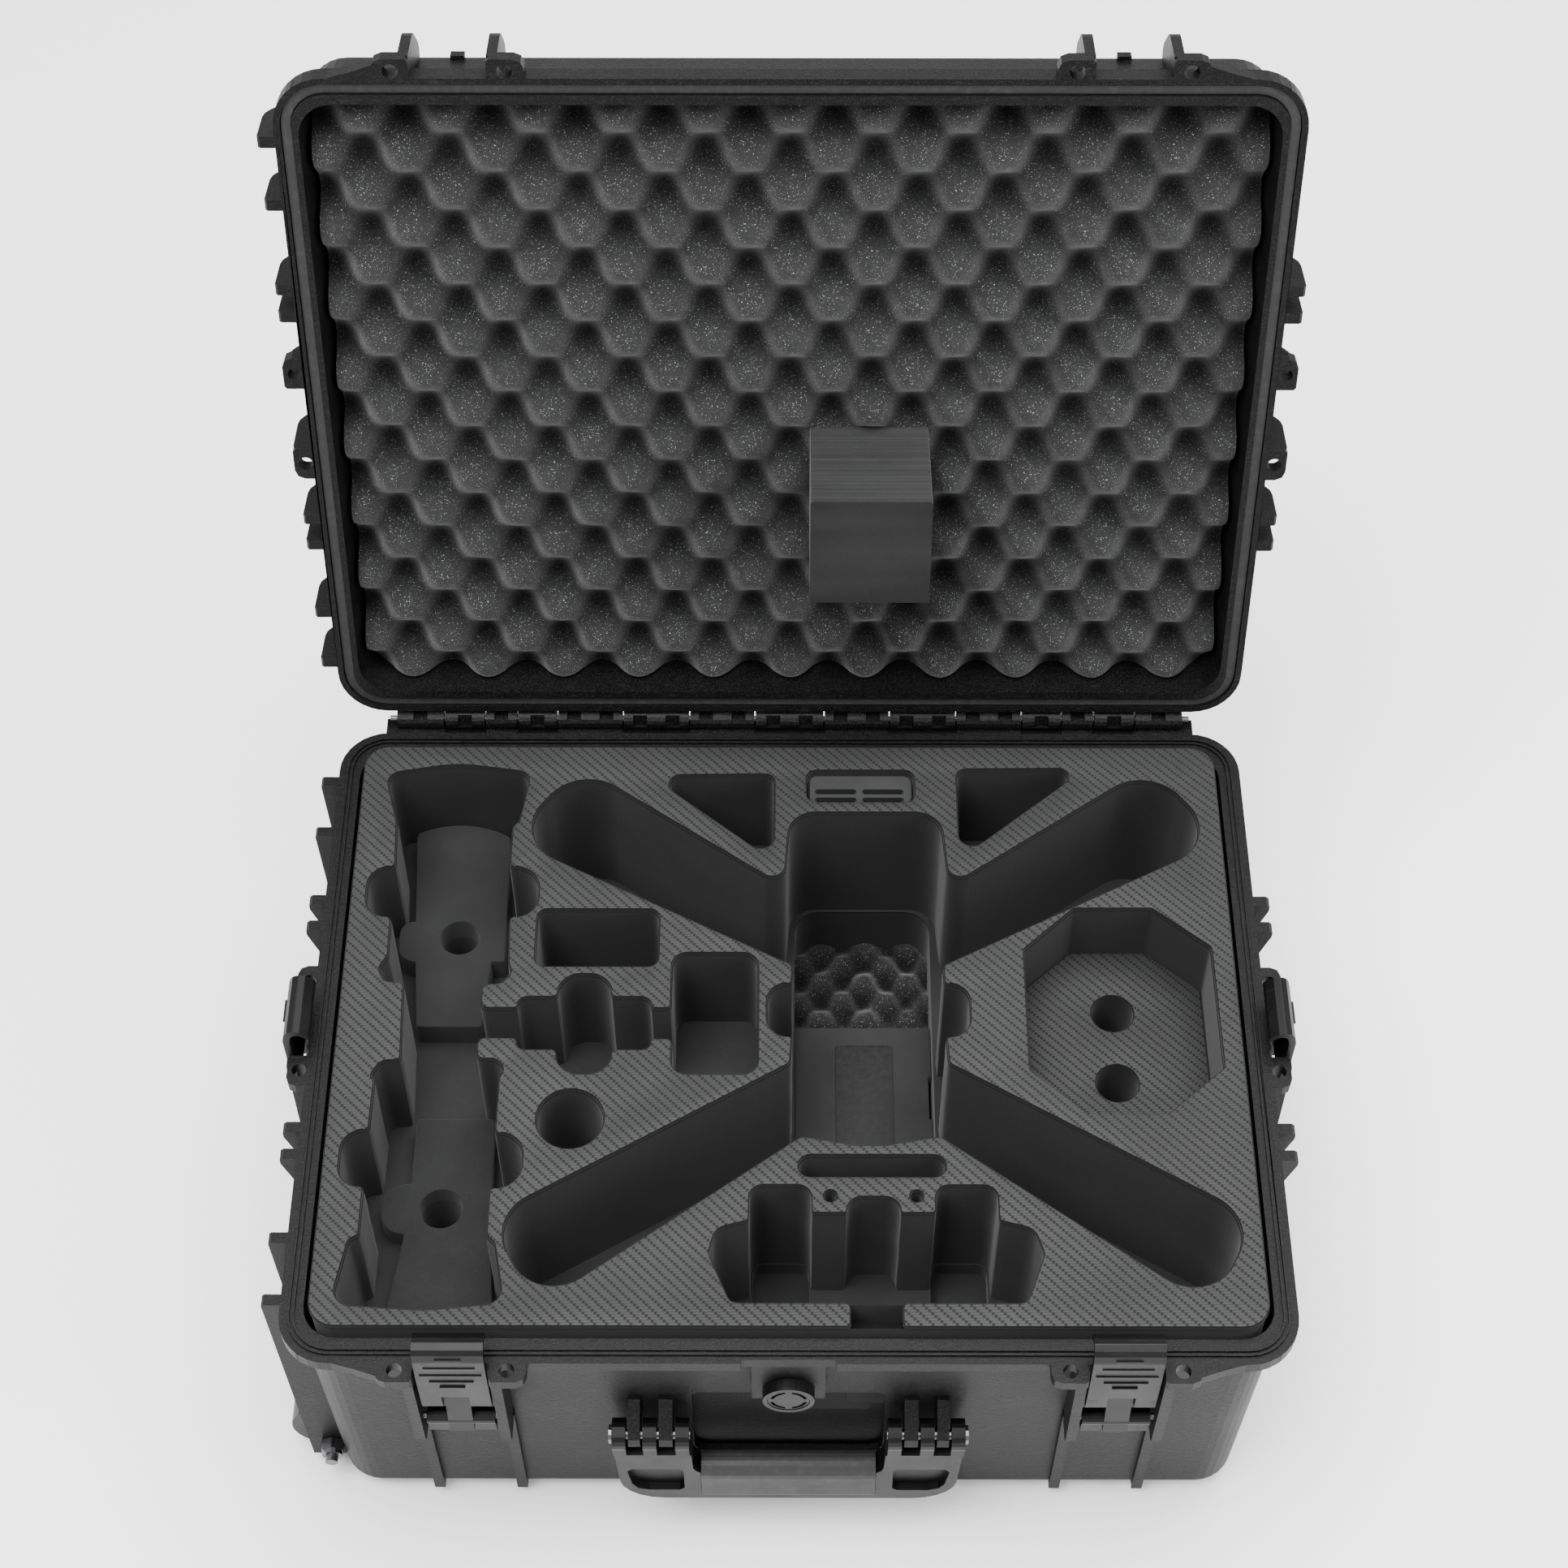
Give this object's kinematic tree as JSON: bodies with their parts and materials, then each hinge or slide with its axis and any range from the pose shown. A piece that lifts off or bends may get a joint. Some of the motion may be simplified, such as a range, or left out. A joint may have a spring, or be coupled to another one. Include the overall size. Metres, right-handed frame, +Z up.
{
  "type": "drone carrying case",
  "caption": "Rolling hard case for a drone, lid open, with latches, carry handle, wheels, pull handle and cut foam for the drone, its remote control and its batteries.",
  "frame": {"origin": "centre of the flat underside that the case lies on", "axes": "+Z up; +Y towards the lid's hinge; -Y towards the carry handle; +X away from the wheels"},
  "size_m": [0.6107, 0.6251, 0.6696],
  "materials": {
    "case_plastic": "textured",
    "smooth_plastic": "satin",
    "rubber": "matte",
    "tyre": "matte",
    "steel": "satin",
    "tube": "satin",
    "foam_skin": "twill",
    "foam": "matte",
    "egg_foam": "matte"
  },
  "bodies": {
    "case": {"base_shell": "case_plastic", "hinge_pin_left": "steel", "hinge_pin_right": "steel", "handle_pin_left": "steel", "handle_pin_right": "steel", "valve_body": "smooth_plastic", "valve_cap": "smooth_plastic", "axle_bolt_front": "steel", "axle_bolt_rear": "steel", "axle_nut_front": "steel", "axle_nut_rear": "steel", "trolley_cover": "case_plastic", "trolley_guide": "case_plastic", "foam_top_sheet": "foam_skin", "foam_upper_block": "foam", "foam_middle_block": "foam", "foam_lower_block": "foam", "foam_bottom_block": "foam", "remote_insert_upper": "foam", "remote_insert_lower": "foam", "charger_insert": "foam_skin", "card_tray": "foam", "egg_pad": "egg_foam", "rest_block": "foam", "latch_pin_front_left": "steel", "latch_pin_front_right": "steel", "latch_pin_side_left": "steel", "latch_pin_side_right": "steel"},
    "lid": {"lid_shell": "case_plastic", "lid_gasket": "rubber", "lid_egg_foam": "egg_foam", "lid_foam_block": "foam"},
    "carry_handle": {"handle_frame": "smooth_plastic", "handle_grip": "rubber"},
    "wheel_front": {"wheel_hub_front": "smooth_plastic", "wheel_tyre_front": "tyre"},
    "wheel_rear": {"wheel_hub_rear": "smooth_plastic", "wheel_tyre_rear": "tyre"},
    "pull_handle": {"trolley_grip": "smooth_plastic", "trolley_tube_front": "tube", "trolley_tube_rear": "tube"},
    "arm_front_left": {"latch_arm_front_left": "smooth_plastic", "lever_pin_front_left": "steel"},
    "lever_front_left": {"latch_lever_front_left": "smooth_plastic"},
    "arm_front_right": {"latch_arm_front_right": "smooth_plastic", "lever_pin_front_right": "steel"},
    "lever_front_right": {"latch_lever_front_right": "smooth_plastic"},
    "arm_side_left": {"latch_arm_side_left": "smooth_plastic", "lever_pin_side_left": "steel"},
    "lever_side_left": {"latch_lever_side_left": "smooth_plastic"},
    "arm_side_right": {"latch_arm_side_right": "smooth_plastic", "lever_pin_side_right": "steel"},
    "lever_side_right": {"latch_lever_side_right": "smooth_plastic"}
  },
  "joints": [
    {"name": "lid_hinge", "type": "hinge", "parent": "case", "child": "lid", "pos_m": [0, 0.231, 0.218], "axis": [1, 0, 0], "range_deg": [0, 104]},
    {"name": "carry_handle_pivot", "type": "hinge", "parent": "case", "child": "carry_handle", "pos_m": [0, -0.224, 0.124], "axis": [-1, 0, 0], "range_deg": [0, 95]},
    {"name": "pull_handle_slide", "type": "slide", "parent": "case", "child": "pull_handle", "axis": [1, 0, 0], "range_m": [0, 0.33]},
    {"name": "wheel_front_spin", "type": "hinge", "parent": "case", "child": "wheel_front", "pos_m": [-0.281, -0.1633, 0.028], "axis": [0, 1, 0], "continuous": true},
    {"name": "wheel_rear_spin", "type": "hinge", "parent": "case", "child": "wheel_rear", "pos_m": [-0.281, 0.1633, 0.028], "axis": [0, 1, 0], "continuous": true},
    {"name": "latch_arm_front_left", "type": "hinge", "parent": "case", "child": "arm_front_left", "pos_m": [-0.1895, -0.221, 0.1435], "axis": [1, 0, 0], "range_deg": [0, 40]},
    {"name": "latch_lever_front_left", "type": "hinge", "parent": "arm_front_left", "child": "lever_front_left", "pos_m": [-0.1895, -0.2195, 0.176], "axis": [1, 0, 0], "range_deg": [0, 60]},
    {"name": "latch_arm_front_right", "type": "hinge", "parent": "case", "child": "arm_front_right", "pos_m": [0.1895, -0.221, 0.1435], "axis": [1, 0, 0], "range_deg": [0, 40]},
    {"name": "latch_lever_front_right", "type": "hinge", "parent": "arm_front_right", "child": "lever_front_right", "pos_m": [0.1895, -0.2195, 0.176], "axis": [1, 0, 0], "range_deg": [0, 60]},
    {"name": "latch_arm_side_left", "type": "hinge", "parent": "case", "child": "arm_side_left", "pos_m": [-0.295, 0, 0.1435], "axis": [0, -1, 0], "range_deg": [0, 40]},
    {"name": "latch_lever_side_left", "type": "hinge", "parent": "arm_side_left", "child": "lever_side_left", "pos_m": [-0.2935, 0, 0.176], "axis": [0, -1, 0], "range_deg": [0, 60]},
    {"name": "latch_arm_side_right", "type": "hinge", "parent": "case", "child": "arm_side_right", "pos_m": [0.295, 0, 0.1435], "axis": [0, 1, 0], "range_deg": [0, 40]},
    {"name": "latch_lever_side_right", "type": "hinge", "parent": "arm_side_right", "child": "lever_side_right", "pos_m": [0.2935, 0, 0.176], "axis": [0, 1, 0], "range_deg": [0, 60]}
  ]
}
